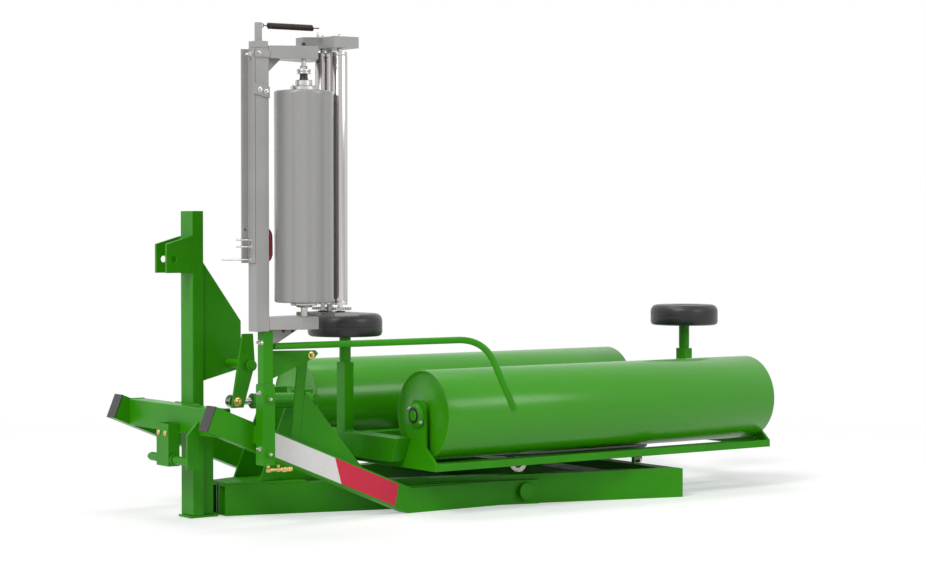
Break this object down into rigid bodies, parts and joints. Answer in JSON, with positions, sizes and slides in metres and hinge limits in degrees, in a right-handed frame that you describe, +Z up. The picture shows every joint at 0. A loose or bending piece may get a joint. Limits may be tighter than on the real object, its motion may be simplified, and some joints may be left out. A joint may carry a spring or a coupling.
{
  "type": "linkage-mounted round bale wrapper with a turntable and a film dispenser",
  "caption": "Round bale wrapper: a turntable with rollers on a tilting floor frame, a film dispenser on a post and a hitch frame with a mast.",
  "frame": {"origin": "on the floor below the front face of the mast, on the centre plane", "axes": "+Y to the rear, +X to the side of the film dispenser, +Z up"},
  "size_m": [1.4806, 2.6879, 1.78],
  "materials": {
    "green_paint": "gloss",
    "grey_paint": "satin",
    "dark_steel": "matt",
    "steel_zinc": "satin",
    "roller_chrome": "polished",
    "rubber_black": "matt",
    "film_wrap": "gloss",
    "red_plastic": "gloss"
  },
  "bodies": {
    "hitch_frame": {"mast": "green_paint", "mast_foot": "green_paint", "mast_rear_post": "green_paint", "mast_gusset_near": "green_paint", "mast_gusset_far": "green_paint", "top_link_ears": "green_paint", "crossbar": "green_paint", "link_hanger": "green_paint", "link_bar": "green_paint", "link_brace": "green_paint", "side_tube_near": "green_paint", "side_tube_far": "green_paint", "cylinder_strut": "green_paint", "post_bracket": "green_paint", "post_sleeve": "green_paint", "post_inner": "green_paint", "guard_rail": "green_paint", "dispenser_column": "grey_paint", "bottom_arm": "grey_paint", "top_arm": "grey_paint", "carriage_spring": "dark_steel", "film_handle": "red_plastic"},
    "floor_frame": {"floor_beam_near": "green_paint", "floor_beam_far": "green_paint", "rear_cross_member": "green_paint", "hub_cross_member": "green_paint", "nose_plate": "green_paint", "tilt_lever": "green_paint", "turntable_hub": "dark_steel"},
    "turntable": {"turntable_disc": "dark_steel", "table_rail_near": "green_paint", "table_rail_far": "green_paint", "table_beam_near": "green_paint", "table_beam_far": "green_paint", "end_plate_front": "green_paint", "end_plate_rear": "green_paint", "end_member_front": "green_paint", "end_member_rear": "green_paint", "guide_post_front": "green_paint", "guide_post_rear": "green_paint"},
    "roller_near": {"main_roller_near": "green_paint"},
    "roller_far": {"main_roller_far": "green_paint"},
    "guide_front": {"guide_wheel_front": "rubber_black"},
    "guide_rear": {"guide_wheel_rear": "rubber_black"},
    "barrel": {"cylinder_barrel": "green_paint"},
    "rod": {"cylinder_rod": "roller_chrome"},
    "film": {"film_roll": "film_wrap", "film_cone_bottom": "steel_zinc", "film_cone_top": "steel_zinc"},
    "carriage": {"carriage_frame": "grey_paint"},
    "stretch_front": {"stretch_roller_front": "roller_chrome"},
    "stretch_rear": {"stretch_roller_rear": "roller_chrome"},
    "wheel_front_near": {"support_wheel_front_near": "steel_zinc"},
    "wheel_rear_near": {"support_wheel_rear_near": "steel_zinc"},
    "wheel_rear_far": {"support_wheel_rear_far": "steel_zinc"},
    "wheel_front_far": {"support_wheel_front_far": "steel_zinc"}
  },
  "joints": [
    {"name": "floor_frame_tilt", "type": "hinge", "parent": "hitch_frame", "child": "floor_frame", "pos_m": [0, 1.24, 0.05], "axis": [-1, 0, 0], "range_deg": [0, 18]},
    {"name": "turntable_turn", "type": "hinge", "parent": "floor_frame", "child": "turntable", "pos_m": [0, 1.55, 0.1916], "axis": [0, 0, 1], "continuous": true},
    {"name": "roller_near_spin", "type": "hinge", "parent": "turntable", "child": "roller_near", "pos_m": [0.445, 1.55, 0.368], "axis": [0, 1, 0], "continuous": true},
    {"name": "roller_far_spin", "type": "hinge", "parent": "turntable", "child": "roller_far", "pos_m": [-0.445, 1.55, 0.368], "axis": [0, 1, 0], "continuous": true},
    {"name": "guide_front_spin", "type": "hinge", "parent": "turntable", "child": "guide_front", "pos_m": [0, 0.6877, 0.645], "axis": [0, 0, 1], "continuous": true},
    {"name": "guide_rear_spin", "type": "hinge", "parent": "turntable", "child": "guide_rear", "pos_m": [0, 2.4123, 0.645], "axis": [0, 0, 1], "continuous": true},
    {"name": "barrel_pivot", "type": "hinge", "parent": "floor_frame", "child": "barrel", "pos_m": [0.16, 0.44, 0.42], "axis": [1, 0, 0], "range_deg": [0, 50]},
    {"name": "rod_slide", "type": "slide", "parent": "barrel", "child": "rod", "axis": [0, -0.9996, 0.0294], "range_m": [0, 0.21]},
    {"name": "film_spin", "type": "hinge", "parent": "hitch_frame", "child": "film", "pos_m": [0.47, 0.211, 0.793], "axis": [0, 0, 1], "continuous": true},
    {"name": "carriage_swing", "type": "hinge", "parent": "hitch_frame", "child": "carriage", "pos_m": [0.38, 0.276, 1.652], "axis": [0, 0, 1], "range_deg": [0, 40], "stiffness_Nm_per_rad": 12, "springref_deg": -20.05},
    {"name": "stretch_front_spin", "type": "hinge", "parent": "carriage", "child": "stretch_front", "pos_m": [0.472, 0.361, 0.7576], "axis": [0, 0, 1], "continuous": true},
    {"name": "stretch_rear_spin", "type": "hinge", "parent": "carriage", "child": "stretch_rear", "pos_m": [0.385, 0.344, 0.7576], "axis": [0, 0, 1], "continuous": true},
    {"name": "wheel_front_near_spin", "type": "hinge", "parent": "floor_frame", "child": "wheel_front_near", "pos_m": [0.36004, 1.24789, 0.15], "axis": [0.766, -0.6428, 0], "continuous": true},
    {"name": "wheel_rear_near_spin", "type": "hinge", "parent": "floor_frame", "child": "wheel_rear_near", "pos_m": [0.36004, 1.85211, 0.15], "axis": [0.766, 0.6428, 0], "continuous": true},
    {"name": "wheel_rear_far_spin", "type": "hinge", "parent": "floor_frame", "child": "wheel_rear_far", "pos_m": [-0.36004, 1.85211, 0.15], "axis": [-0.766, 0.6428, 0], "continuous": true},
    {"name": "wheel_front_far_spin", "type": "hinge", "parent": "floor_frame", "child": "wheel_front_far", "pos_m": [-0.36004, 1.24789, 0.15], "axis": [-0.766, -0.6428, 0], "continuous": true}
  ],
  "couplings": [
    {"joint": "barrel_pivot", "follows": "floor_frame_tilt", "ratio": 2.4236},
    {"joint": "rod_slide", "follows": "floor_frame_tilt", "m_per_rad": 0.636},
    {"joint": "stretch_rear_spin", "follows": "stretch_front_spin", "ratio": -1}
  ]
}
